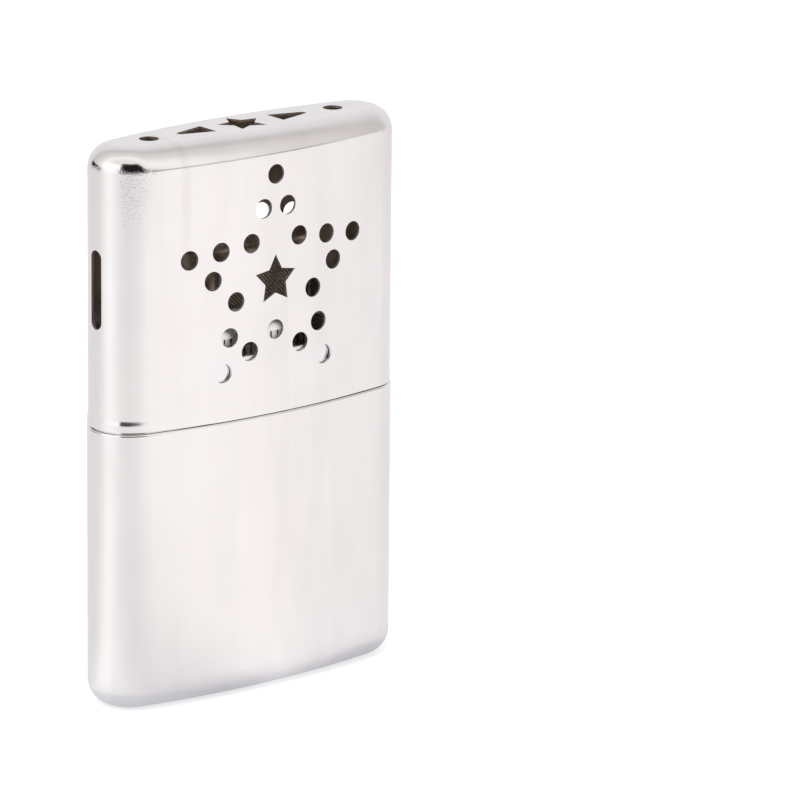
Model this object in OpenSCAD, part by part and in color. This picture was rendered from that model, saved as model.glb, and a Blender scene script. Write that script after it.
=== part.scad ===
// Catalytic hand warmer: a drawn fuel tank, a lift-off perforated cover and a burner on the filler neck.
// Millimetres. +Z is up, X runs across the width and the front face looks along -Y.
// The origin is the centre of the base.

/* [Case] */
// Width of the tank, across the narrow ends
case_width = 65; // [60:0.5:80]
// Depth of the tank at its middle
case_depth = 19.7; // [18:0.1:24]
// Height of the closed warmer
case_height = 103.1; // [98:0.5:125]
// Height of the tank, up to the seam
seam_height = 51.7; // [42:0.5:56]
// Thickness of the drawn sheet of the tank and the cover
shell_wall = 0.5; // [0.3:0.05:0.7]
// Radius round the bottom edge of the tank
base_fillet = 4.6; // [3:0.1:6]
// Radius round the top edge of the cover
crown_fillet = 4.4; // [3:0.1:6]
// Radius of the tank's edge at the seam
seam_edge = 0.4; // [0.2:0.05:0.45]

/* [Cover] */
// How far the cover's wall stands back from the tank's
cover_step = 0.2; // [0.1:0.05:0.6]
// Height of the band round the cover's mouth
rim_height = 2; // [1:0.1:4]
// How far that band stands back from the tank's wall
rim_step = 0; // [0:0.02:0.2]
// Clearance between the cover and the collar that it slides on
slide_gap = 0.15; // [0.1:0.05:0.3]

/* [Vents] */
// Diameter of the round vents
vent_bore = 3.55; // [2.5:0.05:4]
// Depth of the vent star's centre below the top
vent_drop = 26.8; // [25:0.1:28]
// Height by which the rear star of vents stands above the front one
rear_vent_rise = 0.5; // [0:0.1:1]
// Distance from the star's centre to the vents at its tips
vent_tip_reach = 19.3; // [17:0.1:20]
// Distance from the star's centre to the vents between its tips
vent_dip_reach = 9.1; // [8.5:0.1:10]
// Radius of the star-shaped vents, to a tip
star_reach = 4.65; // [3:0.05:5]
// Radius of the star-shaped vents, to the corner between two tips
star_waist = 2.4; // [1.5:0.05:2.6]
// Width of the slot in each narrow end
slot_width = 2.95; // [2:0.05:4]
// Height of that slot
slot_height = 14.4; // [8:0.1:20]
// Depth of the slot's upper end below the top
slot_drop = 18.5; // [12:0.1:22]
// Distance of the round vents in the top from its centre
top_vent_x = 20.6; // [18:0.1:22]
// Distance of the wedge vents' wide end from the centre of the top
wedge_start = 7.5; // [6.5:0.1:8.5]
// Length of the wedge vents
wedge_length = 6.8; // [5:0.1:7.5]
// Width of the wedge vents' wide end
wedge_base = 4.9; // [3:0.1:6]
// Width of the wedge vents' rounded tip
wedge_tip = 1.5; // [0.8:0.1:2.5]

/* [Tank top] */
// Height of the collar above the seam
collar_rise = 11.3; // [8:0.1:13]
// Depth of the collar below the seam
collar_sink = 5; // [3:0.1:8]
// Thickness of the collar
collar_wall = 0.45; // [0.3:0.05:0.6]
// Radius of the collar's outer edge, which leads the cover on
collar_edge = 0.3; // [0.1:0.05:0.3]
// Depth of the deck below the collar's edge
deck_drop = 2.4; // [1.8:0.1:4]
// Thickness of the deck
deck_wall = 0.5; // [0.3:0.05:0.8]
// Height of the deck's turned-up edge
deck_edge = 1.6; // [1:0.1:2]
// Width of the filler neck
neck_width = 27; // [22:0.1:33]
// Depth of the filler neck
neck_depth = 8.8; // [7.5:0.1:10.5]
// Thickness of the neck's wall
neck_wall = 0.5; // [0.3:0.05:0.7]
// Height of the neck above the deck
neck_rise = 3.9; // [3:0.1:5]
// Width of the neck's flange under the deck
neck_flange = 1.5; // [1:0.1:2]
// Depth of the wick pad's top below the neck's edge
pad_drop = 3.3; // [2.5:0.1:4]
// Clearance left round the wadding and the wick pad
packing_gap = 0.1; // [0.05:0.05:0.4]

/* [Burner] */
// Height of the burner above the deck
burner_height = 22.1; // [20:0.1:24]
// Clearance between the burner's skirt and the neck
burner_gap = 0.1; // [0.05:0.05:0.2]
// Thickness of the burner's sheet
burner_wall = 0.4; // [0.3:0.05:0.6]
// Height of the skirt that grips the neck
skirt_height = 6.4; // [5:0.1:7]
// Length of the skirt's spring fingers
finger_height = 4.8; // [3:0.1:5]
// Distance between the slits that part the fingers
finger_pitch = 1.5; // [1.2:0.1:3]
// Width of those slits
finger_slit = 0.35; // [0.2:0.05:0.5]
// How far the frame reaches down over the skirt
frame_lap = 1.4; // [1:0.1:1.5]
// Width of the frame's windows
window_width = 20; // [12:0.1:20.5]
// Height of the frame's windows
window_height = 8.8; // [6:0.1:9]
// Height of the windows' lower edge above the deck
window_sill = 10.3; // [9:0.1:10.5]
// Radius of the windows' corners
window_corner = 1.2; // [0.5:0.1:3]
// Height of the hood's side
hood_height = 2.5; // [2:0.1:3]
// Radius round the hood's top edge
hood_fillet = 1.2; // [0.6:0.1:1.6]
// Thickness of the wire gauze
gauze_wall = 0.3; // [0.2:0.05:0.5]

/* [Hidden] */

$fn = 96;
wide_arc_fn = 720;

chrome = [0.88, 0.87, 0.86];
wire = [0.42, 0.39, 0.35];
cotton = [0.94, 0.93, 0.90];
felt = [0.86, 0.84, 0.78];
glass_fibre = [0.55, 0.53, 0.50];

// Depth by which a cut runs past the solid that it opens
past = 1;
// The case's outline is four tangent arcs: two wide faces and two narrow ends. The lines through their
// centres run and rise as 11 to 60, and are then 61 long. Every centre and radius is so a short decimal,
// and neighbouring arcs meet exactly.
arc_run = 11;
arc_rise = 60;
arc_line = 61;
arc_flank = arc_line - arc_rise;
arc_unit = round(500 * (case_width - case_depth) / (arc_run - arc_flank)) / 1000;
end_x = arc_run * arc_unit;
end_radius = case_depth / 2 - arc_flank * arc_unit;
face_y = arc_rise * arc_unit;
face_radius = end_radius + arc_line * arc_unit;

// Insets of each shell from the tank's outline
cover_inner = cover_step + shell_wall;
collar_outer = cover_inner + slide_gap;
collar_inner = collar_outer + collar_wall;

// Heights
collar_top = seam_height + collar_rise;
deck_top = collar_top - deck_drop;
neck_top = deck_top + neck_rise;
flange_bottom = deck_top - 2 * deck_wall;
pad_top = neck_top - pad_drop;
skirt_top = deck_top + skirt_height;
burner_top = deck_top + burner_height;
hood_edge = burner_top - hood_height;
mat_floor = skirt_top + gauze_wall;
mat_top = burner_top - burner_wall;
vent_z = case_height - vent_drop;

// Oblong sections of the burner, from the neck outwards
skirt_in_depth = neck_depth + 2 * burner_gap;
frame_in_depth = skirt_in_depth + 2 * burner_wall;
frame_depth = frame_in_depth + 2 * burner_wall;
hood_depth = frame_depth + 2 * burner_wall;
// Every one of them is longer than it is deep by the same straight stretch.
straight = neck_width - neck_depth;

// ---- shapes -------------------------------------------------------------------------------

// Section from the inside out to reach, with its outer edges rounded
module edge_profile(reach, depth, height, low_fillet, high_fillet) {
    difference() {
        translate([reach - depth, 0]) square([depth, height]);
        if (low_fillet > 0) {
            translate([reach - low_fillet, 0]) difference() {
                square(low_fillet);
                translate([0, low_fillet]) circle(low_fillet);
            }
        }
        if (high_fillet > 0) {
            translate([reach - high_fillet, height - high_fillet]) difference() {
                square(high_fillet);
                circle(high_fillet);
            }
        }
    }
}

// Plan of the part of the case between the lines through the arcs' centres
module face_zone() {
    corner = end_x + arc_run;
    polygon([
        [end_x, 0], [corner, arc_rise], [-corner, arc_rise],
        [-end_x, 0], [-corner, -arc_rise], [corner, -arc_rise]
    ]);
}

// Plan of the part beyond those lines, at one end
module end_zone(side) {
    corner = side * (end_x + arc_run);
    polygon([[side * end_x, 0], [corner, -arc_rise], [corner, arc_rise]]);
}

// The case's outline, standing inset from the tank's wall
module case_outline(inset) {
    intersection() {
        translate([0, face_y]) circle(face_radius - inset, $fn = wide_arc_fn);
        translate([0, -face_y]) circle(face_radius - inset, $fn = wide_arc_fn);
        face_zone();
    }
    for (side = [-1, 1]) intersection() {
        translate([side * end_x, 0]) circle(end_radius - inset);
        end_zone(side);
    }
}

// Straight-walled solid on that outline
module case_block(inset, height) {
    linear_extrude(height) case_outline(inset);
}

// Straight-walled ring between two insets
module case_ring(outer_inset, inner_inset, height) {
    difference() {
        case_block(outer_inset, height);
        translate([0, 0, -past]) case_block(inner_inset, height + 2 * past);
    }
}

// Disc with rounded edges
module edged_disc(reach, height, low_fillet, high_fillet) {
    rotate_extrude() edge_profile(reach, reach, height, low_fillet, high_fillet);
}

// Solid on that outline with rounded edges
module case_pebble(inset, height, low_fillet, high_fillet) {
    face_arc = face_radius - inset;
    end_arc = end_radius - inset;
    intersection() {
        translate([0, face_y, 0]) edged_disc(face_arc, height, low_fillet, high_fillet, $fn = wide_arc_fn);
        translate([0, -face_y, 0]) edged_disc(face_arc, height, low_fillet, high_fillet, $fn = wide_arc_fn);
        translate([0, 0, -past]) linear_extrude(height + 2 * past) face_zone();
    }
    for (side = [-1, 1]) intersection() {
        translate([side * end_x, 0, 0]) edged_disc(end_arc, height, low_fillet, high_fillet);
        translate([0, 0, -past]) linear_extrude(height + 2 * past) end_zone(side);
    }
}

// Oblong solid with round ends; its length follows from its depth
module oblong_solid(depth, height, high_fillet = 0) {
    for (side = [-1, 1]) {
        translate([side * straight / 2, 0, 0])
            rotate_extrude()
                edge_profile(depth / 2, depth / 2, height, 0, high_fillet);
    }
    rotate([90, 0, 90]) {
        translate([0, 0, -straight / 2]) linear_extrude(straight) {
            edge_profile(depth / 2, depth / 2, height, 0, high_fillet);
            mirror([1, 0]) edge_profile(depth / 2, depth / 2, height, 0, high_fillet);
        }
    }
}

// Oblong tube between two depths
module oblong_tube(outer_depth, inner_depth, height) {
    difference() {
        oblong_solid(outer_depth, height);
        translate([0, 0, -past]) oblong_solid(inner_depth, height + 2 * past);
    }
}

// Five-pointed star with one tip along +Y
module star(reach, waist) {
    polygon([
        for (corner = [0 : 9])
            let (radius = corner % 2 == 0 ? reach : waist, angle = 90 + 36 * corner)
                [radius * cos(angle), radius * sin(angle)]
    ]);
}

// Rectangle with rounded corners, centred on its middle
module rounded_rectangle(width, height, corner) {
    square([width - 2 * corner, height], center = true);
    square([width, height - 2 * corner], center = true);
    for (x = [-1, 1], y = [-1, 1]) {
        translate([x * (width / 2 - corner), y * (height / 2 - corner)]) circle(corner);
    }
}

// Cuts a flat shape, drawn with Y up, through the front half of the case
module through_front() {
    rotate([90, 0, 0]) linear_extrude(case_depth / 2 + past) children();
}

// Cuts a flat shape, drawn with Y up, through the whole depth of the case
module through_depth() {
    rotate([90, 0, 0]) linear_extrude(case_depth + 2 * past, center = true) children();
}

// ---- tank ---------------------------------------------------------------------------------

// Drawn can whose mouth turns in to meet the collar
module tank_shell() {
    color(chrome) difference() {
        case_pebble(0, seam_height, base_fillet, seam_edge);
        translate([0, 0, shell_wall])
            case_pebble(shell_wall, seam_height - 2 * shell_wall, base_fillet - shell_wall, 0);
        translate([0, 0, seam_height - collar_sink]) case_block(collar_outer, collar_sink + past);
    }
}

// Sleeve that the cover slides on
module guide_collar() {
    collar_height = collar_sink + collar_rise;
    color(chrome) translate([0, 0, seam_height - collar_sink]) difference() {
        case_pebble(collar_outer, collar_height, 0, collar_edge);
        translate([0, 0, -past]) case_block(collar_inner, collar_height + 2 * past);
    }
}

// Pan that closes the tank inside the collar, with its edge turned up
module tank_deck() {
    color(chrome) translate([0, 0, deck_top - deck_wall]) {
        case_ring(collar_inner, collar_inner + deck_wall, deck_wall + deck_edge);
        difference() {
            case_block(collar_inner + deck_wall / 2, deck_wall);
            translate([0, 0, -past]) oblong_solid(neck_depth, deck_wall + 2 * past);
        }
    }
}

// Oblong neck, flanged under the deck
module filler_neck() {
    bore_depth = neck_depth - 2 * neck_wall;
    color(chrome) translate([0, 0, flange_bottom]) {
        oblong_tube(neck_depth, bore_depth, neck_top - flange_bottom);
        oblong_tube(neck_depth + 2 * neck_flange, bore_depth, deck_wall);
    }
}

// Cotton that fills the tank and soaks up the fuel
module fuel_wadding() {
    inset = shell_wall + packing_gap;
    bottom = shell_wall + packing_gap;
    shoulder = seam_height - collar_sink - packing_gap;
    color(cotton) {
        translate([0, 0, bottom]) case_pebble(inset, shoulder - bottom, base_fillet - inset, 0);
        translate([0, 0, seam_height / 2])
            case_block(collar_inner + packing_gap, flange_bottom - packing_gap - seam_height / 2);
    }
}

// Felt plug that stands on the wadding inside the neck
module wick_pad() {
    pad_bottom = flange_bottom - packing_gap;
    color(felt) translate([0, 0, pad_bottom])
        oblong_solid(neck_depth - 2 * neck_wall - 2 * packing_gap, pad_top - pad_bottom);
}

// ---- burner -------------------------------------------------------------------------------

// Oblong ring whose lower edge is slit into spring fingers that grip the neck
module burner_skirt() {
    slits = floor(straight / finger_pitch);
    end_slits = floor(PI * frame_in_depth / 2 / finger_pitch);
    color(chrome) translate([0, 0, deck_top]) difference() {
        oblong_tube(frame_in_depth, skirt_in_depth, skirt_height);
        for (n = [0 : slits]) {
            translate([(n - slits / 2) * finger_pitch, 0, finger_height / 2 - past])
                cube([finger_slit, frame_in_depth + 2 * past, finger_height + 2 * past], center = true);
        }
        for (turn = [0, 180], n = [1 : end_slits - 1]) {
            rotate([0, 0, turn]) translate([straight / 2, 0, -past])
                rotate([0, 0, -90 + 180 * n / end_slits])
                    translate([0, -finger_slit / 2, 0])
                        cube([frame_in_depth, finger_slit, finger_height + past]);
        }
    }
}

// Sleeve that carries the gauzes and the mat, with a window in each wide face
module burner_frame() {
    frame_bottom = skirt_top - frame_lap;
    color(chrome) difference() {
        translate([0, 0, frame_bottom])
            oblong_tube(frame_depth, frame_in_depth, burner_top - burner_wall - frame_bottom);
        translate([0, 0, deck_top + window_sill + window_height / 2])
            through_depth() rounded_rectangle(window_width, window_height, window_corner);
    }
}

// Cap pressed over the top of the frame
module burner_hood() {
    color(chrome) translate([0, 0, hood_edge]) difference() {
        oblong_solid(hood_depth, hood_height, hood_fillet);
        translate([0, 0, -past]) oblong_solid(frame_depth, hood_height - burner_wall + past);
    }
}

// Wire gauze on the skirt's upper edge, under the mat
module floor_gauze() {
    color(wire) translate([0, 0, skirt_top]) oblong_solid(frame_in_depth, gauze_wall);
}

// Wire gauze behind one window; side is -1 at the front and 1 at the rear
module window_gauze(side) {
    height = mat_top - mat_floor;
    color(wire)
        translate([-straight / 2, side * (frame_in_depth - gauze_wall) / 2 - gauze_wall / 2, mat_floor])
            cube([straight, gauze_wall, height]);
}

module front_gauze() {
    window_gauze(-1);
}

module rear_gauze() {
    window_gauze(1);
}

// Glass-fibre mat that carries the catalyst, held between the gauzes
module catalyst_mat() {
    color(glass_fibre) translate([0, 0, mat_floor])
        oblong_solid(frame_in_depth - 2 * gauze_wall, mat_top - mat_floor);
}

// ---- cover --------------------------------------------------------------------------------

// Round vents that draw a five-pointed star round a star-shaped one
module face_vents() {
    for (arm = [0 : 4]) {
        tip_angle = 90 + 72 * arm;
        for (side = [-1, 1]) {
            dip_angle = tip_angle + 36 * side;
            translate([
                (vent_tip_reach * cos(tip_angle) + vent_dip_reach * cos(dip_angle)) / 2,
                (vent_tip_reach * sin(tip_angle) + vent_dip_reach * sin(dip_angle)) / 2
            ]) circle(d = vent_bore);
        }
        rotate(tip_angle) translate([vent_tip_reach, 0]) circle(d = vent_bore);
        rotate(tip_angle + 36) translate([vent_dip_reach, 0]) circle(d = vent_bore);
    }
    star(star_reach, star_waist);
}

// Vents in the top: a star between two wedges and two round holes
module top_vents() {
    star(star_reach, star_waist);
    for (side = [0, 1]) {
        mirror([side, 0]) {
            translate([top_vent_x, 0]) circle(d = vent_bore);
            tip_x = wedge_start + wedge_length - wedge_tip / 2;
            polygon([
                [wedge_start, -wedge_base / 2], [tip_x, -wedge_tip / 2],
                [tip_x, wedge_tip / 2], [wedge_start, wedge_base / 2]
            ]);
            translate([tip_x, 0]) circle(d = wedge_tip);
        }
    }
}

// Upright slot in each narrow end
module end_slots() {
    low = case_height - slot_drop - slot_height + slot_width / 2;
    high = case_height - slot_drop - slot_width / 2;
    reach = case_width + 2 * past;
    translate([0, 0, (low + high) / 2]) cube([reach, slot_width, high - low], center = true);
    for (z = [low, high]) {
        translate([0, 0, z]) rotate([0, 90, 0]) cylinder(d = slot_width, h = reach, center = true);
    }
}

// Perforated cap with a band round its mouth
module cover_shell() {
    cover_height = case_height - seam_height;
    color(chrome) difference() {
        translate([0, 0, seam_height]) {
            case_pebble(cover_step, cover_height, 0, crown_fillet);
            case_pebble(rim_step, rim_height, 0, cover_step - rim_step);
        }
        translate([0, 0, seam_height - past])
            case_pebble(cover_inner, cover_height - shell_wall + past, 0, crown_fillet - shell_wall);
        for (side = [0, 1]) {
            translate([0, 0, vent_z + side * rear_vent_rise])
                mirror([0, side, 0]) through_front() face_vents();
        }
        translate([0, 0, case_height - 2 * crown_fillet])
            linear_extrude(2 * crown_fillet + past) top_vents();
        end_slots();
    }
}

tank_shell();
guide_collar();
tank_deck();
filler_neck();
fuel_wadding();
wick_pad();
burner_skirt();
burner_frame();
burner_hood();
floor_gauze();
front_gauze();
rear_gauze();
catalyst_mat();
cover_shell();
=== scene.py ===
import math
import bmesh
import bpy
from mathutils import Matrix, Vector, noise


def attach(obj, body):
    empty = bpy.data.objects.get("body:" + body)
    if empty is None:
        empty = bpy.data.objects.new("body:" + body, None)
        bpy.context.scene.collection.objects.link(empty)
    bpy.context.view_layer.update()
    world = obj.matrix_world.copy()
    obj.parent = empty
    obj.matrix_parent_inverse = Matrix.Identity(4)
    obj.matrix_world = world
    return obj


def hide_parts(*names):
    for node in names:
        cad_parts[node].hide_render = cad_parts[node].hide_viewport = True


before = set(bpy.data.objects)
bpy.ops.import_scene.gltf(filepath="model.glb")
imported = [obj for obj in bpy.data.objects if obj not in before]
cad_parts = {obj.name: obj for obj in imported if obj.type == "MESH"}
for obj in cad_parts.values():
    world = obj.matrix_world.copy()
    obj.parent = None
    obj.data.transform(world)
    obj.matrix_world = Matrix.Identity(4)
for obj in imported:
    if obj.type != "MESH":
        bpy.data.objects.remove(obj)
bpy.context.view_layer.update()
mm = 0.001
white = (1, 1, 1, 1)

studio = {
    "azimuth": -39.11, "elevation": 15.48, "roll": -0.59,  # the camera looks down at the left front corner
    "distance": 1180.4, "aside": 28.69, "above": 4.54, "aim": 47.27,  # its place, in mm
    "lens": 295.0, "sensor": 36.0, "clipStart": 0.01,
    "floorSize": 8.0, "paper": (0.8, 0.8, 0.8), "paperLift": 0.5,
    "paperInMetal": 1.37, "shadowInMetal": 0.22,
    "footHalf": 0.0249, "footReach": 0.050,
    "footShade": (  # painted shade: in the metal the paper darkens towards the middle line under the base, standing in for the base's contact shadow
        (0.0, (0.50, 0.52, 0.56)), (0.17, (0.67, 0.69, 0.735)), (0.25, (0.87, 0.885, 0.92)),
        (0.5, (0.98, 0.985, 0.995)), (1.0, (1, 1, 1)),
    ),
    "paperRound": (  # how bright the floor shows in the metal, turning from -X through -Y, +X and +Y
        (0.0, (0.865, 0.86, 0.855)), (0.03, (0.81, 0.80, 0.80)), (0.08, (0.725, 0.71, 0.715)),
        (0.125, (0.70, 0.685, 0.69)), (0.17, (0.72, 0.705, 0.71)), (0.215, (0.755, 0.74, 0.74)),
        (0.265, (0.82, 0.80, 0.80)), (0.325, (0.86, 0.84, 0.835)), (0.345, (0.82, 0.80, 0.795)),
        (0.40, (0.785, 0.765, 0.765)), (0.415, (0.785, 0.765, 0.765)), (0.44, (0.73, 0.71, 0.715)),
        (0.50, (0.71, 0.69, 0.69)), (0.62, (0.69, 0.67, 0.67)), (0.80, (0.66, 0.645, 0.65)),
        (0.905, (0.675, 0.665, 0.67)), (0.94, (0.75, 0.745, 0.745)), (0.97, (0.845, 0.84, 0.835)),
        (1.0, (0.865, 0.86, 0.855)),
    ),
    "ambient": 0.72,
    "roomSide": (-0.746, -0.666, 0.0),
    "room": (  # how bright the room shows in the metal, from the side behind the object to the side before it
        (0.0, (0.855, 0.85, 0.862)), (0.075, (0.848, 0.839, 0.853)), (0.135, (0.83, 0.812, 0.821)),
        (0.195, (0.80, 0.775, 0.784)), (0.255, (0.729, 0.704, 0.707)), (0.295, (0.665, 0.64, 0.64)),
        (0.33, (0.635, 0.61, 0.607)), (0.375, (0.674, 0.648, 0.64)), (0.435, (0.743, 0.714, 0.698)),
        (0.48, (0.78, 0.756, 0.737)), (0.525, (0.80, 0.778, 0.755)), (0.555, (0.86, 0.844, 0.818)),
        (0.615, (0.97, 0.957, 0.94)), (0.65, (1.05, 1.04, 1.03)), (0.70, (1.0, 0.985, 0.97)),
        (0.75, (0.93, 0.905, 0.885)), (1.0, (0.9, 0.88, 0.87)),
    ),
    # a thin dark line where the floor ends: the heights between which it shows, and the side it comes in from
    "farEdge": (0.484, 0.489, 0.506, 0.512), "farEdgeTone": (0.08, 0.08, 0.08), "farEdgeFrom": (0.40, 0.475),
    # name, distance, low and high edge, first and last direction, how low its top ends, how strongly it glows
    "cards": (
        ("tallCard", 1.6, 0.0, 1.5, -154, -74, 0.05, 0.0), ("lowCard", 1.6, 0.06, 0.36, 106, 152, 0.6, 0.0),
        ("windowCard", 1.5, 0.02, 1.15, 153, 205, 1.0, 1.2),
    ),
    "cardSteps": 24, "cardSlope": 0.66,  # the top slopes over the last third
    "cardCloth": (0.012, 0.010, 0.011), "cardGlow": (1, 0.99, 0.99), "cardRoughness": 0.9,
    "lamp": ("softbox", (-0.7, -0.5, 1.2), (0, 0, 0.05), 0.8, 5.0),  # name, place, aim, size, power
}


def newObject(name, bm):
    mesh = bpy.data.meshes.new(name)
    bm.to_mesh(mesh)
    bm.free()
    made = bpy.data.objects.new(name, mesh)
    bpy.context.scene.collection.objects.link(made)
    return made


def feed(links, value, socket):
    # a socket takes a plain number or colour, or what another node gives
    if isinstance(value, bpy.types.NodeSocket):
        links.new(value, socket)
    else:
        socket.default_value = value


def mapped(nodes, links, value, low, high, toLow=0.0, toHigh=1.0, kind="SMOOTHSTEP"):
    ramp = nodes.new("ShaderNodeMapRange")
    ramp.interpolation_type = kind
    for socket, number in zip(("From Min", "From Max", "To Min", "To Max"), (low, high, toLow, toHigh)):
        ramp.inputs[socket].default_value = number
    links.new(value, ramp.inputs["Value"])
    return ramp.outputs["Result"]


def calculated(nodes, links, operation, *values):
    step = nodes.new("ShaderNodeMath")
    step.operation = operation
    for socket, value in zip(step.inputs, values):
        feed(links, value, socket)
    return step.outputs[0]


def measured(nodes, links, operation, *vectors):
    step = nodes.new("ShaderNodeVectorMath")
    step.operation = operation
    for socket, vector in zip(step.inputs, vectors):
        feed(links, vector, socket)
    return step.outputs["Value"]


def splitUp(nodes, links, vector):
    split = nodes.new("ShaderNodeSeparateXYZ")
    links.new(vector, split.inputs[0])
    return split.outputs


def colorRamp(nodes, links, source, stops):
    ramp = nodes.new("ShaderNodeValToRGB")
    links.new(source, ramp.inputs["Fac"])
    for i, (at, color) in enumerate(stops):
        stop = ramp.color_ramp.elements[i] if i < 2 else ramp.color_ramp.elements.new(at)
        stop.position = at
        stop.color = (*color, 1)
    return ramp.outputs["Color"]


def blended(nodes, links, factor, first, second, kind="MIX"):
    mix = nodes.new("ShaderNodeMix")
    mix.data_type, mix.blend_type = "RGBA", kind
    for socket, value in zip(("Factor", "A", "B"), (factor, first, second)):
        feed(links, value, mix.inputs[socket])
    return mix.outputs["Result"]


def shaderOf(nodes, links, kind, color, strength=None):
    shader = nodes.new(kind)
    feed(links, color, shader.inputs["Color"])
    if strength is not None:
        shader.inputs["Strength"].default_value = strength
    return shader.outputs[0]


def shaderBetween(nodes, links, factor, first, second):
    mix = nodes.new("ShaderNodeMixShader")
    for socket, value in zip(mix.inputs, (factor, first, second)):
        feed(links, value, socket)
    return mix.outputs[0]


def addCamera():
    az, el, roll = (math.radians(studio[k]) for k in ("azimuth", "elevation", "roll"))
    right = Vector((math.cos(az), math.sin(az), 0))
    up = Vector((-math.sin(az) * math.sin(el), math.cos(az) * math.sin(el), math.cos(el)))
    back = right.cross(up)
    across = right * math.cos(roll) - up * math.sin(roll)
    upright = right * math.sin(roll) + up * math.cos(roll)
    place = Vector((0, 0, studio["aim"])) + back * studio["distance"]
    place += across * studio["aside"] + upright * studio["above"]
    data = bpy.data.cameras.new("camera")
    data.lens = studio["lens"]
    data.sensor_width = studio["sensor"]
    data.clip_start = studio["clipStart"]
    camera = bpy.data.objects.new("camera", data)
    camera.matrix_world = Matrix.Translation(place * mm) @ Matrix((across, upright, back)).transposed().to_4x4()
    bpy.context.scene.collection.objects.link(camera)
    bpy.context.scene.camera = camera


def addWorld():
    world = bpy.data.worlds.new("studio")
    bpy.context.scene.world = world
    world.use_nodes = True
    nodes, links = world.node_tree.nodes, world.node_tree.links
    nodes.clear()
    out = nodes.new("ShaderNodeOutputWorld")
    lightPath = nodes.new("ShaderNodeLightPath")
    direction = nodes.new("ShaderNodeTexCoord").outputs["Generated"]
    height = mapped(nodes, links, splitUp(nodes, links, direction)["Z"], -1, 1, kind="LINEAR")
    side = measured(nodes, links, "DOT_PRODUCT", direction, studio["roomSide"])
    facing = mapped(nodes, links, side, -1, 1, kind="LINEAR")
    low, lowFull, highFull, high = studio["farEdge"]
    rising = mapped(nodes, links, height, low, lowFull)
    falling = mapped(nodes, links, height, highFull, high, 1.0, 0.0)
    shown = mapped(nodes, links, facing, *studio["farEdgeFrom"])
    edge = calculated(nodes, links, "MULTIPLY", shown, calculated(nodes, links, "MULTIPLY", rising, falling))
    tone = colorRamp(nodes, links, facing, studio["room"])
    tone = blended(nodes, links, edge, tone, (*studio["farEdgeTone"], 1))
    plain = shaderOf(nodes, links, "ShaderNodeBackground", white, studio["ambient"])
    paper = shaderOf(nodes, links, "ShaderNodeBackground", white)
    room = shaderOf(nodes, links, "ShaderNodeBackground", tone)
    inMetal = shaderBetween(nodes, links, lightPath.outputs["Is Glossy Ray"], plain, room)
    direct = calculated(
        nodes, links, "MAXIMUM", lightPath.outputs["Is Camera Ray"], lightPath.outputs["Is Transmission Ray"]
    )
    links.new(shaderBetween(nodes, links, direct, inMetal, paper), out.inputs["Surface"])


def addFloor():
    bm = bmesh.new()
    bmesh.ops.create_grid(bm, x_segments=1, y_segments=1, size=studio["floorSize"] / 2)
    floor = newObject("floor", bm)
    material = bpy.data.materials.new("floorPaper")
    material.use_nodes = True
    nodes, links = material.node_tree.nodes, material.node_tree.links
    nodes.clear()
    out = nodes.new("ShaderNodeOutputMaterial")
    lightPath = nodes.new("ShaderNodeLightPath")
    paper = shaderOf(nodes, links, "ShaderNodeBsdfDiffuse", (*studio["paper"], 1))
    lift = shaderOf(nodes, links, "ShaderNodeEmission", white, studio["paperLift"])
    lifted = nodes.new("ShaderNodeAddShader")  # still takes the object's shadow
    links.new(paper, lifted.inputs[0])
    links.new(lift, lifted.inputs[1])
    point = objectPoint(nodes)
    turn = nodes.new("ShaderNodeTexGradient")  # a half is towards +X, and it grows towards +Y
    turn.gradient_type = "RADIAL"
    links.new(point, turn.inputs["Vector"])
    around = colorRamp(nodes, links, turn.outputs["Fac"], studio["paperRound"])
    split = splitUp(nodes, links, point)
    beyond = calculated(nodes, links, "ABSOLUTE", split["X"])
    offset = nodes.new("ShaderNodeCombineXYZ")  # how far past the ends of the middle line, and how far beside it
    half = studio["footHalf"]
    links.new(mapped(nodes, links, beyond, half, half + 1, kind="LINEAR"), offset.inputs["X"])
    links.new(split["Y"], offset.inputs["Y"])
    away = measured(nodes, links, "LENGTH", offset.outputs[0])
    lit = mapped(nodes, links, away, 0.0, studio["footReach"], kind="LINEAR")
    foot = colorRamp(nodes, links, lit, studio["footShade"])
    shaded = blended(nodes, links, 1.0, around, foot, "MULTIPLY")
    glow = shaderOf(nodes, links, "ShaderNodeEmission", shaded, studio["paperInMetal"])
    shadow = shaderOf(nodes, links, "ShaderNodeBsdfDiffuse", around)
    # the object's shadow is only faint in the metal
    inMetal = shaderBetween(nodes, links, studio["shadowInMetal"], glow, shadow)
    seen = shaderBetween(nodes, links, lightPath.outputs["Is Camera Ray"], paper, lifted.outputs[0])
    seen = shaderBetween(nodes, links, lightPath.outputs["Is Glossy Ray"], seen, inMetal)
    links.new(seen, out.inputs["Surface"])
    floor.data.materials.append(material)


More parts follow.
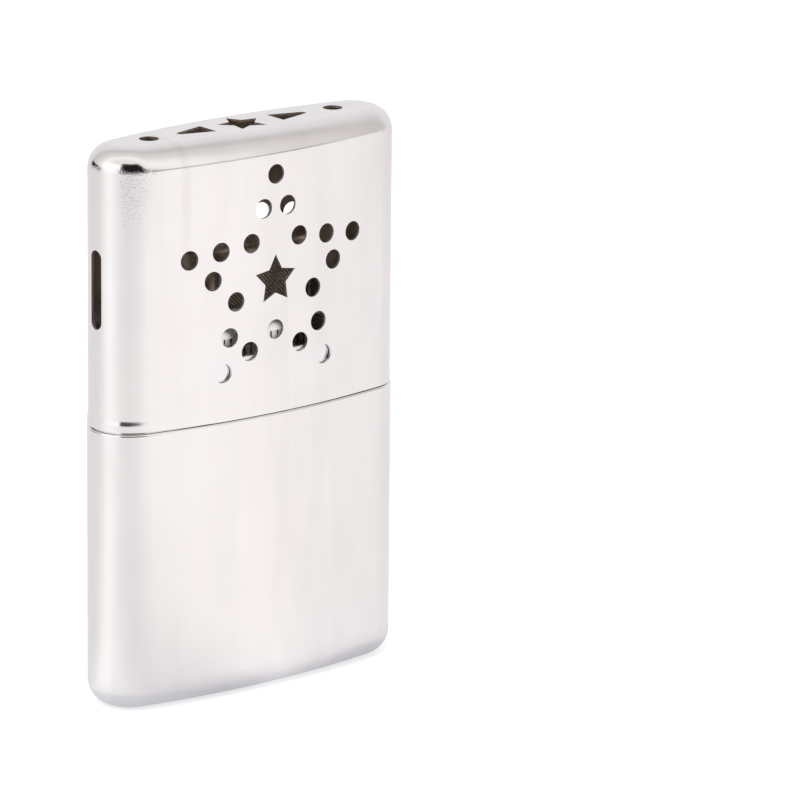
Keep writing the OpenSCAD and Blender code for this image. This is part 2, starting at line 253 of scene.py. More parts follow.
def addCard(name, distance, low, high, first, last, fall, glow):
    # a card that stands round the floor and shows only in the metal
    bm = bmesh.new()
    start = Vector((math.cos(math.radians(first)), math.sin(math.radians(first)), 0)) * distance
    verts = [bm.verts.new(start + Vector((0, 0, z))) for z in (low, high)]
    geom = verts + [bm.edges.new(verts)]
    turn, steps, slope = math.radians(last - first), studio["cardSteps"], studio["cardSlope"]
    bmesh.ops.spin(bm, geom=geom, cent=(0, 0, 0), axis=(0, 0, 1), angle=turn, steps=steps, use_merge=False)
    for vert in bm.verts:
        turned = math.degrees(math.atan2(vert.co.y, vert.co.x)) % 360
        share = (turned - first % 360) % 360 / (last - first)
        if vert.co.z > (low + high) / 2 and share > slope:
            vert.co.z = high + (high * fall - high) * (share - slope) / (1 - slope)
    card = newObject(name, bm)
    material, *_, cloth = newMaterial(name + "Cloth", studio["cardCloth"], 0.0, studio["cardRoughness"])
    cloth.inputs["Specular IOR Level"].default_value = 0
    if glow:
        cloth.inputs["Emission Color"].default_value = (*studio["cardGlow"], 1)
        cloth.inputs["Emission Strength"].default_value = glow
    card.data.materials.append(material)
    card.visible_camera = card.visible_diffuse = card.visible_shadow = card.visible_transmission = False


def addLamp(name, place, aim, size, power):
    data = bpy.data.lights.new(name, "AREA")
    data.size = size
    data.energy = power
    lamp = bpy.data.objects.new(name, data)
    look = (Vector(aim) - Vector(place)).to_track_quat("-Z", "Y").to_matrix().to_4x4()
    lamp.matrix_world = Matrix.Translation(place) @ look
    lamp.visible_glossy = False
    bpy.context.scene.collection.objects.link(lamp)


def newMaterial(name, color, metallic, roughness):
    material = bpy.data.materials.new(name)
    material.use_nodes = True
    shader = material.node_tree.nodes["Principled BSDF"]
    shader.inputs["Base Color"].default_value = (*color, 1)
    shader.inputs["Metallic"].default_value = metallic
    shader.inputs["Roughness"].default_value = roughness
    return material, material.node_tree.nodes, material.node_tree.links, shader


def objectPoint(nodes):
    return nodes.new("ShaderNodeTexCoord").outputs["Object"]


addCamera()
addWorld()
addFloor()
for card in studio["cards"]:
    addCard(*card)
addLamp(*studio["lamp"])
bpy.context.scene.view_settings.view_transform = "Standard"
print("studio ready")

caseForm = {
    "width": 65.0, "depth": 19.7, "height": 103.1, "seam": 51.7,
    "run": 11, "rise": 60,  # the lines through the arcs' centres
    "faceSteps": 96, "endSteps": 40,
}
arcUnit = (caseForm["width"] - caseForm["depth"]) / 2 / (caseForm["run"] - 1)
endX = caseForm["run"] * arcUnit
faceY = caseForm["rise"] * arcUnit
endRadius = caseForm["depth"] / 2 - arcUnit
faceTurn = 2 * math.atan2(caseForm["run"], caseForm["rise"])
mergeDistance = 2e-6


def corner(wall, flat, radius, upper, steps):
    # a rounded corner from the flat to the wall, as (inset, height)
    points = []
    for i in range(steps + 1):
        t = math.pi / 2 * (1 - i / steps)
        rise = radius * (1 - math.sin(t))
        points.append((wall + radius * (1 - math.cos(t)), flat - rise if upper else flat + rise))
    return points


def sweepCase(section):
    # spins a section of (inset, height) points round the four arcs of the case, and closes its ends
    bm = bmesh.new()
    half = faceTurn / 2
    out = Vector((math.sin(half), -math.cos(half), 0)).normalized()
    verts = [bm.verts.new((Vector((endX, 0, height)) + out * (endRadius - inset)) * mm) for inset, height in section]
    geom = verts + [bm.edges.new(pair) for pair in zip(verts, verts[1:])]
    endTurn, faceSteps, endSteps = math.pi - faceTurn, caseForm["faceSteps"], caseForm["endSteps"]
    for x, y, angle, steps in (
        (endX, 0, endTurn, endSteps), (0, -faceY, faceTurn, faceSteps),
        (-endX, 0, endTurn, endSteps), (0, faceY, faceTurn, faceSteps),
    ):
        centre = Vector((x, y, 0)) * mm
        spun = bmesh.ops.spin(bm, geom=geom, cent=centre, axis=(0, 0, 1), angle=angle, steps=steps, use_merge=False)
        geom = spun["geom_last"]
    bmesh.ops.remove_doubles(bm, verts=bm.verts, dist=mergeDistance)
    bmesh.ops.holes_fill(bm, edges=[e for e in bm.edges if e.is_boundary], sides=0)
    return bm


def finishPiece(name, bm, material, body, nodeName, sharp=35):
    bmesh.ops.recalc_face_normals(bm, faces=bm.faces)
    for edge in bm.edges:
        edge.smooth = not (len(edge.link_faces) == 2 and edge.calc_face_angle(0) > math.radians(sharp))
    for face in bm.faces:
        face.smooth = True
    piece = newObject(name, bm)
    piece.data.materials.append(material)
    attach(piece, body)
    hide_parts(nodeName)
    return piece


def applyModifiers(piece):
    bpy.context.view_layer.update()
    depsgraph = bpy.context.evaluated_depsgraph_get()
    made = bpy.data.meshes.new_from_object(piece.evaluated_get(depsgraph), depsgraph=depsgraph)
    piece.modifiers.clear()
    old = piece.data
    piece.data = made
    made.name = old.name
    bpy.data.meshes.remove(old)


def sharpenCuts(piece, sharp=35):
    # cut edges are crisp, and the wide flat faces keep their own direction
    bm = bmesh.new()
    bm.from_mesh(piece.data)
    for edge in bm.edges:
        edge.smooth = len(edge.link_faces) == 2 and edge.calc_face_angle(0) < math.radians(sharp)
    for face in bm.faces:
        face.smooth = True
    bm.to_mesh(piece.data)
    bm.free()
    weighted = piece.modifiers.new("flatFaces", "WEIGHTED_NORMAL")
    weighted.keep_sharp = True
    applyModifiers(piece)


def eased(share):
    return share * share * (3 - 2 * share)


def grainHeight(nodes, links, point, perMetre, detail, distortion=0.0):
    # noise as a height from 0 to 1, with its own fineness along X, Y and Z
    mapping = nodes.new("ShaderNodeMapping")
    mapping.inputs["Scale"].default_value = perMetre
    links.new(point, mapping.inputs["Vector"])
    grain = nodes.new("ShaderNodeTexNoise")
    grain.inputs["Scale"].default_value = 1.0
    grain.inputs["Detail"].default_value = detail
    grain.inputs["Distortion"].default_value = distortion
    links.new(mapping.outputs["Vector"], grain.inputs["Vector"])
    return grain.outputs["Fac"]


def roughen(nodes, links, height, distance, strength, before=None):
    bump = nodes.new("ShaderNodeBump")
    bump.inputs["Distance"].default_value = distance * mm
    links.new(height, bump.inputs["Height"])
    feed(links, strength, bump.inputs["Strength"])
    if before:
        links.new(before, bump.inputs["Normal"])
    return bump.outputs["Normal"]


filmSpread = (0.3, 0.7)  # the stretch of a noise's height over which a film comes and goes


def tinted(nodes, links, height, dark, pale):
    return colorRamp(nodes, links, height, zip(filmSpread, (dark, pale)))


plateLook = {
    "bright": (0.90, 0.880, 0.874), "dull": (0.862, 0.838, 0.834),  # clean plate, and the film that hands leave
    "film": (90, 90, 60), "roughness": (0.085, 0.15),
    "drawMark": (0.962, 0.958, 0.966), "drawGrain": (150, 150, 24),  # soft streaks that drawing the sheet leaves
    "drawShown": (0.42, 0.72),
    "strongMark": (0.93, 0.925, 0.93), "strongAt": -0.0187,  # one darker streak below the crown
    "strongWidth": (0.0002, 0.0017), "strongHeight": (0.076, 0.093), "strongCorner": 0.5,
    # where the ends start along X, and the corners under the crown along X and Z
    "ends": (0.0265, 0.0305),
    "cornerSide": (0.022, 0.0265), "cornerFoot": (0.079, 0.0968), "cornerTop": (0.0994, 0.1005),
    # height in mm, fineness along X, Y and Z, detail, distortion
    "press": (0.020, (70, 70, 45), 1.0, 0.0), "hairline": (0.0016, (160, 160, 3600), 3.0, 0.0),
    "endStreak": (0.0028, (2600, 2600, 320), 3.0, 0.0), "corner": (0.055, (2500, 2500, 2700), 4.0, 0.5),
}


def casePlate():
    look = plateLook
    material, nodes, links, shader = newMaterial("platedCase", look["bright"], 1.0, look["roughness"][0])
    point = objectPoint(nodes)
    split = splitUp(nodes, links, point)
    sideways = calculated(nodes, links, "ABSOLUTE", split["X"])
    atEnds = mapped(nodes, links, sideways, *look["ends"])
    nearEnds = mapped(nodes, links, sideways, *look["cornerSide"])
    rising = mapped(nodes, links, split["Z"], *look["cornerFoot"])
    falling = mapped(nodes, links, split["Z"], *look["cornerTop"], 1.0, 0.0)
    drawn = calculated(nodes, links, "MULTIPLY", nearEnds, calculated(nodes, links, "MULTIPLY", rising, falling))
    film = grainHeight(nodes, links, point, look["film"], 4.0, 0.6)
    tone = tinted(nodes, links, film, look["dull"], look["bright"])
    streaks = grainHeight(nodes, links, point, look["drawGrain"], 4.0, 0.4)
    streaks = mapped(nodes, links, streaks, *look["drawShown"])
    tone = blended(nodes, links, streaks, tone, (*look["drawMark"], 1), "MULTIPLY")
    aside = calculated(nodes, links, "ABSOLUTE", calculated(nodes, links, "SUBTRACT", split["X"], look["strongAt"]))
    thin = mapped(nodes, links, aside, *look["strongWidth"], 1.0, 0.0)
    high = mapped(nodes, links, split["Z"], *look["strongHeight"])
    streak = calculated(nodes, links, "MULTIPLY", thin, high)
    pulled = calculated(nodes, links, "MULTIPLY", drawn, look["strongCorner"])
    strong = calculated(nodes, links, "MAXIMUM", streak, pulled)
    tone = blended(nodes, links, strong, tone, (*look["strongMark"], 1), "MULTIPLY")
    links.new(tone, shader.inputs["Base Color"])
    links.new(mapped(nodes, links, film, *filmSpread, *look["roughness"]), shader.inputs["Roughness"])
    normal = None
    for mark, shown in (("press", 0.5), ("hairline", 1.0), ("endStreak", atEnds), ("corner", drawn)):
        height, *grain = look[mark]
        normal = roughen(nodes, links, grainHeight(nodes, links, point, *grain), height, shown, normal)
    links.new(normal, shader.inputs["Normal"])
    return material


sheetFilm = (180, 180, 120)


def sheetMetal(name, bright, dull, roughness, grain, perMetre):
    material, nodes, links, shader = newMaterial(name, bright, 1.0, roughness[0])
    point = objectPoint(nodes)
    film = grainHeight(nodes, links, point, sheetFilm, 4.0, 0.8)
    links.new(tinted(nodes, links, film, dull, bright), shader.inputs["Base Color"])
    links.new(mapped(nodes, links, film, *filmSpread, *roughness), shader.inputs["Roughness"])
    normal = roughen(nodes, links, grainHeight(nodes, links, point, perMetre, 3.0), grain, 1.0)
    links.new(normal, shader.inputs["Normal"])
    return material


heatLook = {"cloud": (260, 260, 200), "ragged": 0.003, "mottle": (0.72, 0.68, 0.64), "mottleShown": (0.45, 0.75)}


def heatedMetal(name, cool, hot, fade, roughness, grain, perMetre):
    # metal that the catalyst has browned above a ragged height
    material, nodes, links, shader = newMaterial(name, cool, 1.0, roughness[0])
    point = objectPoint(nodes)
    height = splitUp(nodes, links, point)["Z"]
    cloud = grainHeight(nodes, links, point, heatLook["cloud"], 4.0, 0.8)
    ragged = calculated(nodes, links, "ADD", height, calculated(nodes, links, "MULTIPLY", cloud, heatLook["ragged"]))
    heat = mapped(nodes, links, ragged, *fade)
    tone = blended(nodes, links, heat, (*cool, 1), (*hot, 1))
    mottle = mapped(nodes, links, cloud, *heatLook["mottleShown"])
    tone = blended(nodes, links, mottle, tone, (*heatLook["mottle"], 1), "MULTIPLY")
    links.new(tone, shader.inputs["Base Color"])
    links.new(mapped(nodes, links, heat, 0.0, 1.0, *roughness), shader.inputs["Roughness"])
    normal = roughen(nodes, links, grainHeight(nodes, links, point, perMetre, 3.0), grain, 1.0)
    links.new(normal, shader.inputs["Normal"])
    return material


fibreLook = {
    "slants": (0.5, -0.9), "twist": (1.0, 0.7, 1.4), "specular": 0.25,
    "streak": 0.12, "lump": 0.08, "lumpHeight": 4, "lumpStrength": 0.6,  # against the fibres' own fineness and fluff
}


def fibre(name, pale, dark, roughness, perMetre, fluff, sheen):
    # matted fibres: short streaks that cross at two slants, over soft lumps
    material, nodes, links, shader = newMaterial(name, pale, 0.0, roughness)
    shader.inputs["Sheen Weight"].default_value = sheen
    shader.inputs["Specular IOR Level"].default_value = fibreLook["specular"]
    point = objectPoint(nodes)
    streaks = []
    for slant in fibreLook["slants"]:
        turn = nodes.new("ShaderNodeMapping")
        turn.inputs["Rotation"].default_value = [slant * twist for twist in fibreLook["twist"]]
        links.new(point, turn.inputs["Vector"])
        fineness = (perMetre * fibreLook["streak"], perMetre, perMetre)
        streaks.append(grainHeight(nodes, links, turn.outputs["Vector"], fineness, 3.0, 1.2))
    crossed = calculated(nodes, links, "MAXIMUM", *streaks)
    lumps = grainHeight(nodes, links, point, (perMetre * fibreLook["lump"],) * 3, 3.0)
    tone = calculated(nodes, links, "MULTIPLY", calculated(nodes, links, "ADD", crossed, lumps), 0.5)
    links.new(tinted(nodes, links, tone, dark, pale), shader.inputs["Base Color"])
    normal = roughen(nodes, links, lumps, fluff * fibreLook["lumpHeight"], fibreLook["lumpStrength"])
    normal = roughen(nodes, links, crossed, fluff, 1.0, normal)
    links.new(normal, shader.inputs["Normal"])
    return material


platedCase = casePlate()
coverInside = heatedMetal(
    "coverInside", cool=(0.90, 0.88, 0.86), hot=(0.58, 0.49, 0.41), fade=(0.066, 0.077),
    roughness=(0.15, 0.5), grain=0.0012, perMetre=(400, 400, 1500),
)
platedInside = sheetMetal(
    "platedInside", bright=(0.88, 0.885, 0.90), dull=(0.82, 0.825, 0.84),
    roughness=(0.10, 0.2), grain=0.0015, perMetre=(300, 300, 2400),
)
deckMetal = sheetMetal(
    "deckMetal", bright=(0.86, 0.84, 0.81), dull=(0.74, 0.70, 0.65),
    roughness=(0.18, 0.3), grain=0.003, perMetre=(900, 900, 900),
)
burnerMetal = heatedMetal(
    "burnerMetal", cool=(0.93, 0.92, 0.91), hot=(0.60, 0.50, 0.42), fade=(0.0725, 0.0765),
    roughness=(0.24, 0.5), grain=0.0012, perMetre=(500, 500, 1800),
)
skirtMetal = sheetMetal(
    "skirtMetal", bright=(0.95, 0.94, 0.93), dull=(0.90, 0.88, 0.86),
    roughness=(0.2, 0.3), grain=0.001, perMetre=(500, 500, 1800),
)
gauzeWire = sheetMetal(
    "gauzeWire", bright=(0.94, 0.84, 0.74), dull=(0.80, 0.70, 0.60),
    roughness=(0.32, 0.45), grain=0.002, perMetre=(3000, 3000, 3000),
)
glassFibre = fibre(
    "glassFibre", pale=(0.34, 0.295, 0.255), dark=(0.16, 0.135, 0.115),
    roughness=0.85, perMetre=5200, fluff=0.05, sheen=0.2,
)
punchedEdge = sheetMetal(
    "punchedEdge", bright=(0.95, 0.93, 0.92), dull=(0.88, 0.86, 0.84),
    roughness=(0.4, 0.55), grain=0.002, perMetre=(2500, 2500, 2500),
)
feltFibre = fibre(
    "feltFibre", pale=(0.80, 0.77, 0.70), dark=(0.62, 0.58, 0.50),
    roughness=0.95, perMetre=4200, fluff=0.08, sheen=0.4,
)
cottonFibre = fibre(
    "cottonFibre", pale=(0.93, 0.92, 0.89), dark=(0.80, 0.78, 0.74),
    roughness=0.95, perMetre=2600, fluff=0.12, sheen=0.5,
)
print("materials ready")

tankForm = {
    "wall": 0.5, "baseFillet": 4.6, "seamEdge": 0.4, "mouth": 0.85,
    "flatLoop": 0.5,  # loops this far from the curves keep the wall's shading flat
    "filletSteps": 14, "insideSteps": 10, "edgeSteps": 5,
}


def buildTank():
    t = tankForm
    wall, fillet, edge, top = t["wall"], t["baseFillet"], t["seamEdge"], caseForm["seam"]
    section = corner(0, 0, fillet, False, t["filletSteps"])
    section += [(0, fillet + t["flatLoop"]), (0, top - edge - t["flatLoop"])]
    section += corner(0, top, edge, True, t["edgeSteps"])[::-1]
    section += [(t["mouth"], top), (t["mouth"], top - wall), (wall, top - wall)]
    section += corner(wall, wall, fillet - wall, False, t["insideSteps"])[::-1]
    return finishPiece("tankShell", sweepCase(section), platedCase, "tank", "tank_shell")


buildTank()
print("tank built")

coverForm = {
    "step": 0.2, "wall": 0.5, "crownFillet": 4.4, "rimHeight": 2.0, "rimStep": 0.0,
    "crownSteps": 16, "insideSteps": 10, "lipSteps": 4,
    "cove": (  # how the band runs into the wall: share of the step, height
        (0.0, 1.1), (0.03, 0.82), (0.13, 0.55), (0.3, 0.28), (0.5, 0.0),
        (0.7, -0.28), (0.87, -0.55), (0.97, -0.82), (1.0, -1.1),
    ),
    "coveTop": 1.2,
    "bandFade": (-30.5, -19.0), "bandLeft": 0.2,  # the band stands out round the left end and is all but flush beyond
    "seamGap": 0.1, "lipRound": 0.12,
    "lipLift": ((-33.0, 0.28), (-22.0, 0.16), (-10.0, 0.0), (8.0, 0.0), (22.0, 0.06), (33.0, 0.06)),
    "ventBore": 3.55, "ventDrop": 26.8, "rearRise": 0.5, "tipReach": 19.3, "dipReach": 9.1,
    "frontShift": 0.3, "rearShift": -0.6,
    "starReach": 4.65, "starWaist": 2.4,
    "slotWidth": 2.95, "slotHeight": 14.4, "slotDrop": 18.5,
    "topVentX": 20.6, "wedgeStart": 7.5, "wedgeLength": 6.8, "wedgeBase": 4.9, "wedgeTip": 1.5,
    # the punches' lengths, and how far from the middle and above the top they stand
    "ventPunch": 14, "wedgePunch": 20, "slotPunch": 80, "punchReach": 11, "punchAbove": 5, "punchSteps": 48,
    "crownFrom": 0.095, "endShare": 0.1,  # above this height the inside looks down, and at the ends along X
}


def ventCylinder(bm, x, z, diameter, toPlace):
    turned = toPlace @ Matrix.Translation(Vector((x, z, 0)) * mm)
    radius, depth = diameter / 2 * mm, coverForm["ventPunch"] * mm
    bmesh.ops.create_cone(
        bm, cap_ends=True, segments=coverForm["punchSteps"], radius1=radius, radius2=radius, depth=depth, matrix=turned
    )


def ventStar(bm, toPlace):
    depth = coverForm["ventPunch"] * mm
    made = bmesh.ops.create_cone(bm, cap_ends=True, segments=10, radius1=mm, radius2=mm, depth=depth)
    for vert in made["verts"]:
        point = round((math.degrees(math.atan2(vert.co.y, vert.co.x)) - 90) / 36)  # the even ones are tips
        reach = coverForm["starReach"] if point % 2 == 0 else coverForm["starWaist"]
        angle = math.radians(90 + 36 * point)
        vert.co.x, vert.co.y = reach * mm * math.cos(angle), reach * mm * math.sin(angle)
    bmesh.ops.transform(bm, matrix=toPlace, verts=made["verts"])


def punchFace(bm, shift, side, rise):
    # round vents at a star's tips and dips and halfway along its sides, and a star-shaped vent in the middle
    c = coverForm
    place = Vector((shift, side * c["punchReach"], caseForm["height"] - c["ventDrop"] + rise))
    face = Matrix.Translation(place * mm) @ Matrix.Rotation(math.pi / 2, 4, "X")
    for arm in range(5):
        tip = math.radians(90 + 72 * arm)
        for reach, angle in ((c["tipReach"], tip), (c["dipReach"], tip + math.radians(36))):
            ventCylinder(bm, reach * math.cos(angle), reach * math.sin(angle), c["ventBore"], face)
        for turn in (-1, 1):
            dip = tip + math.radians(36) * turn
            x = (c["tipReach"] * math.cos(tip) + c["dipReach"] * math.cos(dip)) / 2
            z = (c["tipReach"] * math.sin(tip) + c["dipReach"] * math.sin(dip)) / 2
            ventCylinder(bm, x, z, c["ventBore"], face)
    ventStar(bm, face)


def punchTop(bm):
    c = coverForm
    top = Matrix.Translation((0, 0, (caseForm["height"] + c["punchAbove"]) * mm))
    ventStar(bm, top)
    low, depth, radius = caseForm["height"] - c["wedgePunch"] / 2, c["wedgePunch"] * mm, c["wedgeTip"] / 2
    for side in (-1, 1):
        ventCylinder(bm, side * c["topVentX"], 0, c["ventBore"], top)
        tipX = c["wedgeStart"] + c["wedgeLength"] - radius
        outline = [(c["wedgeStart"], -c["wedgeBase"] / 2)]
        for i in range(13):
            t = math.radians(-90 + 15 * i)
            outline.append((tipX + radius * math.cos(t), radius * math.sin(t)))
        outline.append((c["wedgeStart"], c["wedgeBase"] / 2))
        wedge = bm.faces.new([bm.verts.new(Vector((side * x, y, low)) * mm) for x, y in outline])
        grown = bmesh.ops.extrude_face_region(bm, geom=[wedge], use_keep_orig=True)["geom"]
        bmesh.ops.translate(bm, vec=(0, 0, depth), verts=[g for g in grown if isinstance(g, bmesh.types.BMVert)])


def punchSlot(bm):
    # one long round punch through both ends, pulled apart to the slot's height
    c = coverForm
    low = caseForm["height"] - c["slotDrop"] - c["slotHeight"] + c["slotWidth"] / 2
    high = caseForm["height"] - c["slotDrop"] - c["slotWidth"] / 2
    radius, depth = c["slotWidth"] / 2 * mm, c["slotPunch"] * mm
    made = bmesh.ops.create_cone(
        bm, cap_ends=True, segments=c["punchSteps"], radius1=radius, radius2=radius, depth=depth,
        matrix=Matrix.Translation((0, 0, low * mm)) @ Matrix.Rotation(math.pi / 2, 4, "Y"),
    )
    raised = [v for v in made["verts"] if v.co.z > (low + 0.01) * mm]
    level = [v for v in made["verts"] if abs(v.co.z - low * mm) <= 0.01 * mm]
    bmesh.ops.translate(bm, vec=(0, 0, (high - low) * mm), verts=raised)
    bmesh.ops.translate(bm, vec=(0, 0, (high - low) / 2 * mm), verts=level)


def cutVents(cover):
    c = coverForm
    bm = bmesh.new()
    punchFace(bm, c["frontShift"], -1, 0)
    punchFace(bm, c["rearShift"], 1, c["rearRise"])
    punchTop(bm)
    punchSlot(bm)
    bmesh.ops.recalc_face_normals(bm, faces=bm.faces)
    for face in bm.faces:
        face.material_index = 2
    punches = newObject("ventPunches", bm)
    for material in cover.data.materials:
        punches.data.materials.append(material)
    cut = cover.modifiers.new("vents", "BOOLEAN")
    cut.operation = "DIFFERENCE"
    cut.solver = "EXACT"
    cut.object = punches
    applyModifiers(cover)
    mesh = punches.data
    bpy.data.objects.remove(punches)
    bpy.data.meshes.remove(mesh)
    for face in cover.data.polygons:  # the top's cut edges are browned like the inside
        if face.material_index == 2 and face.center.z > (caseForm["height"] - c["crownFillet"]) * mm:
            face.material_index = 1
    sharpenCuts(cover)


def followed(stops, at):
    # the value at a place between stops
    for (low, first), (high, last) in zip(stops, stops[1:]):
        if at <= high:
            return first + (last - first) * eased(max(0.0, (at - low) / (high - low)))
    return stops[-1][1]


def shapeRim(bm, bandTop, lip):
    # fades the band out along X, and lifts the lip a little off the tank
    c = coverForm
    low, high = c["bandFade"]
    for vert in bm.verts:
        x, y = abs(vert.co.x) / mm, abs(vert.co.y) / mm
        atEnd = y * caseForm["run"] < (x - endX) * caseForm["rise"]
        centre = Vector((math.copysign(endX, vert.co.x), 0)) if atEnd else Vector((0, math.copysign(faceY, -vert.co.y)))
        wallReach = endRadius - c["step"] if atEnd else faceY + caseForm["depth"] / 2 - c["step"]
        flat = vert.co.xy / mm - centre
        if vert.co.z < bandTop * mm and flat.length > wallReach:  # the band and the lip, outside
            share = max(0.0, min(1.0, (vert.co.x / mm - low) / (high - low)))
            keep = 1 - (1 - c["bandLeft"]) * eased(share)
            moved = centre + flat.normalized() * (wallReach + (flat.length - wallReach) * keep)
            vert.co.x, vert.co.y = moved.x * mm, moved.y * mm
        if vert.co.z < (lip + c["lipRound"] + 0.01) * mm:
            vert.co.z += followed(c["lipLift"], vert.co.x / mm) * mm


def buildCover():
    c = coverForm
    height, wall = caseForm["height"], c["wall"]
    inner = c["step"] + wall
    rimTop, lip = caseForm["seam"] + c["rimHeight"], caseForm["seam"] + c["seamGap"]
    section = corner(c["step"], height, c["crownFillet"], True, c["crownSteps"])
    section += [(c["step"] - share * c["step"], rimTop + rise) for share, rise in c["cove"]]
    section += corner(c["rimStep"], lip, c["lipRound"], False, c["lipSteps"])[::-1]
    section += [(inner, lip)]
    section += corner(inner, height - wall, c["crownFillet"] - wall, True, c["insideSteps"])[::-1]
    bm = sweepCase(section)
    shapeRim(bm, rimTop + c["coveTop"], lip)
    cover = finishPiece("coverShell", bm, platedCase, "cover", "cover_shell")
    cover.data.materials.append(coverInside)
    cover.data.materials.append(punchedEdge)
    for face in cover.data.polygons:  # the faces that look inwards
        at = face.center
        outwards = Vector((at.x * c["endShare"], at.y, max(at.z - c["crownFrom"], 0)))
        if face.normal.dot(outwards) < -1e-5:
            face.material_index = 1
    cutVents(cover)
    return cover


cover = buildCover()
print("cover built", len(cover.data.polygons))

gauzeForm = {
    "pitch": 0.56, "wire": 0.15, "lift": 0.075,  # the wires pass over and under each other
    "wide": 18.1, "low": 67.4, "high": 82.2, "front": -4.75, "rear": 4.75,
    "floor": 67.15, "floorStraight": 18.2, "floorRadius": 4.8,
    "count": 60,  # crossings each way from the middle, more than any piece needs
}


def weaveGauze(name, inside, place, nodeName):
    # two families of wires on the slant, woven one over, one under
    g = gauzeForm
    curve = bpy.data.curves.new(name, "CURVE")
    curve.dimensions = "3D"
    curve.bevel_depth = g["wire"] / 2 * mm
    curve.bevel_resolution = 0
    curve.use_fill_caps = True
    crossings = range(-g["count"], g["count"] + 1)
    for family in (1, -1):
        for i in crossings:
            points = []
            for j in crossings:
                across, along = (i, j) if family == 1 else (j, -i)
                u = (along - across) * g["pitch"] / math.sqrt(2)
                v = (along + across) * g["pitch"] / math.sqrt(2)
                if inside(u, v):
                    over = 1 if (i + j) % 2 == 0 else -1
                    points.append(place(u, v, g["lift"] * over * family))
            if len(points) > 1:
                spline = curve.splines.new("POLY")
                spline.points.add(len(points) - 1)
                for point, at in zip(spline.points, points):
                    point.co = (*(Vector(at) * mm), 1)
    woven = bpy.data.objects.new(name + "Curve", curve)
    bpy.context.scene.collection.objects.link(woven)
    bpy.context.view_layer.update()
    mesh = bpy.data.meshes.new_from_object(woven.evaluated_get(bpy.context.evaluated_depsgraph_get()))
    bpy.data.objects.remove(woven)
    bpy.data.curves.remove(curve)
    bm = bmesh.new()
    bm.from_mesh(mesh)
    bpy.data.meshes.remove(mesh)
    return finishPiece(name, bm, gauzeWire, "burner", nodeName, sharp=180)


def insideWindow(u, v):
    return abs(u) <= gauzeForm["wide"] / 2 and abs(v) <= (gauzeForm["high"] - gauzeForm["low"]) / 2


def insideFloor(u, v):
    beyond = max(abs(u) - gauzeForm["floorStraight"] / 2, 0)
    return math.hypot(beyond, v) <= gauzeForm["floorRadius"]


gauzeMiddle = (gauzeForm["low"] + gauzeForm["high"]) / 2
weaveGauze("frontGauze", insideWindow, lambda u, v, h: (u, gauzeForm["front"] + h, gauzeMiddle + v), "front_gauze")
weaveGauze("rearGauze", insideWindow, lambda u, v, h: (u, gauzeForm["rear"] + h, gauzeMiddle + v), "rear_gauze")
weaveGauze("floorGauze", insideFloor, lambda u, v, h: (u, v, gauzeForm["floor"] + h), "floor_gauze")
print("gauzes woven")


ruffleNoise = (0.7, 2.0, 3)  # how fast its octaves fade, how much finer each is, and how many there are


def ruffle(bm, form):
    # uneven fibres, pushed in from the piece's own space and never out of it
    for vert in bm.verts:
        lump = noise.fractal(vert.co / (form["lump"] * mm) + Vector((form["seed"], 0, 0)), *ruffleNoise)
        vert.co -= vert.normal * form["fluff"] * mm * (0.5 + 0.5 * max(-1, min(1, lump)))


def finishSoft(name, bm, form, material, body, nodeName):
    bmesh.ops.recalc_face_normals(bm, faces=bm.faces)
    bm.normal_update()
    ruffle(bm, form)
    return finishPiece(name, bm, material, body, nodeName, sharp=180)


padForm = {"straight": 18.2, "endSteps": 24, "straightSteps": 18, "edgeSteps": 4, "insets": (0.5, 0.7, 0.9, 1.1)}


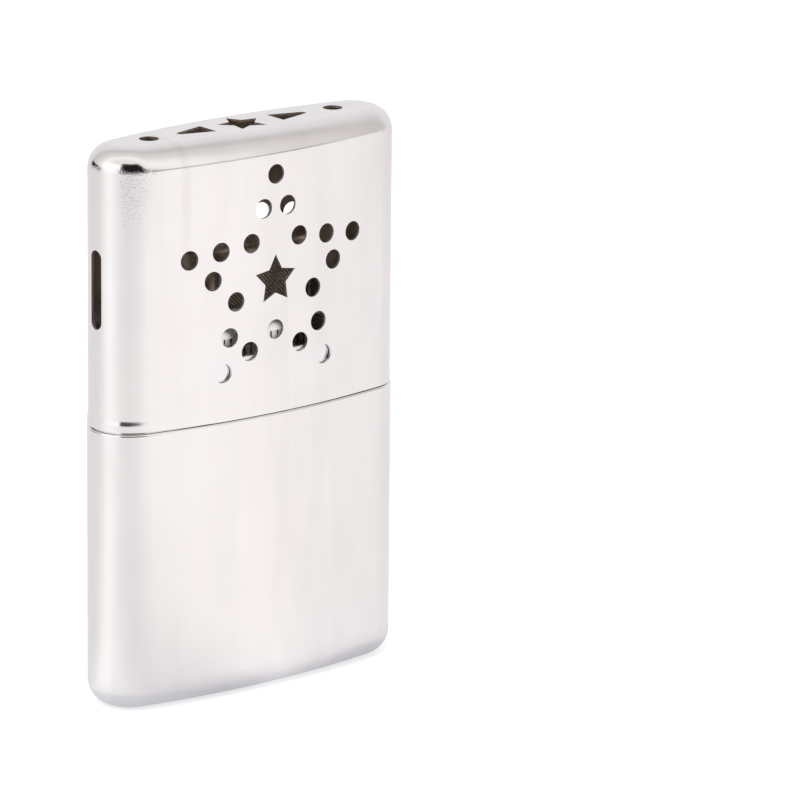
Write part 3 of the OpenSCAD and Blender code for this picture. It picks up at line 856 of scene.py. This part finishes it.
def oblongPad(name, form, material, body, nodeName):
    # a pad with round ends: its edge is spun round both ends and its faces are filled and cut fine
    radius, low, high, edge, rings = (form[k] for k in ("radius", "low", "high", "edge", "rings"))
    half, steps = padForm["straight"] / 2, padForm["straightSteps"]
    bm = bmesh.new()
    section = corner(0, low, edge, False, padForm["edgeSteps"])
    rises = [(high - low) * k / rings for k in range(1, rings)]
    section += [(0, low + rise) for rise in rises if edge < rise < high - low - edge]
    section += corner(0, high, edge, True, padForm["edgeSteps"])[::-1]
    verts = [bm.verts.new(Vector((half, -(radius - inset), z)) * mm) for inset, z in section]
    geom = verts + [bm.edges.new(pair) for pair in zip(verts, verts[1:])]
    for side in (1, -1):
        geom = bmesh.ops.spin(
            bm, geom=geom, cent=(side * half * mm, 0, 0), axis=(0, 0, 1), angle=math.pi,
            steps=padForm["endSteps"], use_merge=False,
        )["geom_last"]
        for step in range(steps):
            edges = [g for g in geom if isinstance(g, bmesh.types.BMEdge)]
            grown = bmesh.ops.extrude_edge_only(bm, edges=edges)["geom"]
            geom = [g for g in grown if not isinstance(g, bmesh.types.BMFace)]
            moved = [g for g in geom if isinstance(g, bmesh.types.BMVert)]
            bmesh.ops.translate(bm, verts=moved, vec=Vector((-side * 2 * half / steps, 0, 0)) * mm)
    bmesh.ops.remove_doubles(bm, verts=bm.verts, dist=mergeDistance)
    for cap in (low, high):
        rim = [e for e in bm.edges if e.is_boundary and abs(e.verts[0].co.z - cap * mm) < 1e-5]
        faces = bmesh.ops.holes_fill(bm, edges=rim, sides=0)["faces"]
        for inset in padForm["insets"]:
            bmesh.ops.inset_region(bm, faces=faces, thickness=inset * mm * radius / 4, use_even_offset=False)
    return finishSoft(name, bm, form, material, body, nodeName)


matForm = {
    "radius": 4.55, "low": 67.35, "high": 82.2, "edge": 0.5, "rings": 40,
    "fluff": 0.25, "lump": 1.2, "seed": 4.55,
}
mat = oblongPad("catalystMat", matForm, glassFibre, "burner", "catalyst_mat")
wickForm = {
    "radius": 3.75, "low": 59.6, "high": 61.1, "edge": 0.35, "rings": 8,
    "fluff": 0.18, "lump": 1.0, "seed": 3.75,
}
wick = oblongPad("wickPad", wickForm, feltFibre, "tank", "wick_pad")

waddingForm = {
    "inset": 0.65, "low": 0.65, "high": 46.5, "topInset": 1.5, "top": 59.35,
    "baseRound": 3.9, "topRound": 0.5, "roundSteps": 8, "topSteps": 3,
    "roundings": 5.0,  # height that the wall's rings leave for its rounded corners
    "wallRings": 40, "shoulder": 0.02, "topRings": 14,
    "fluff": 0.5, "lump": 3.0, "seed": 7.0,
}


def buildWadding():
    w = waddingForm
    low, high, top, inset, topInset = w["low"], w["high"], w["top"], w["inset"], w["topInset"]
    wallRings, topRings, wallRun = w["wallRings"], w["topRings"], high - low - w["roundings"]
    section = corner(inset, low, w["baseRound"], False, w["roundSteps"])
    section += [(inset, low + w["baseRound"] + wallRun * k / wallRings) for k in range(1, wallRings)]
    section += corner(inset, high, w["topRound"], True, w["topSteps"])[::-1]
    section += [(topInset, high + w["shoulder"])]
    section += [(topInset, high + (top - high) * k / topRings) for k in range(1, topRings)]
    section += corner(topInset, top, w["topRound"], True, w["topSteps"])[::-1]
    return finishSoft("fuelWadding", sweepCase(section), w, cottonFibre, "tank", "fuel_wadding")


wadding = buildWadding()
print("soft pieces made")

for nodeName, material in (
    ("guide_collar", platedInside), ("tank_deck", deckMetal), ("filler_neck", deckMetal),
    ("burner_skirt", skirtMetal), ("burner_frame", burnerMetal), ("burner_hood", burnerMetal),
):
    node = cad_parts[nodeName]
    node.data.materials.clear()
    node.data.materials.append(material)
print("carried-over pieces finished")
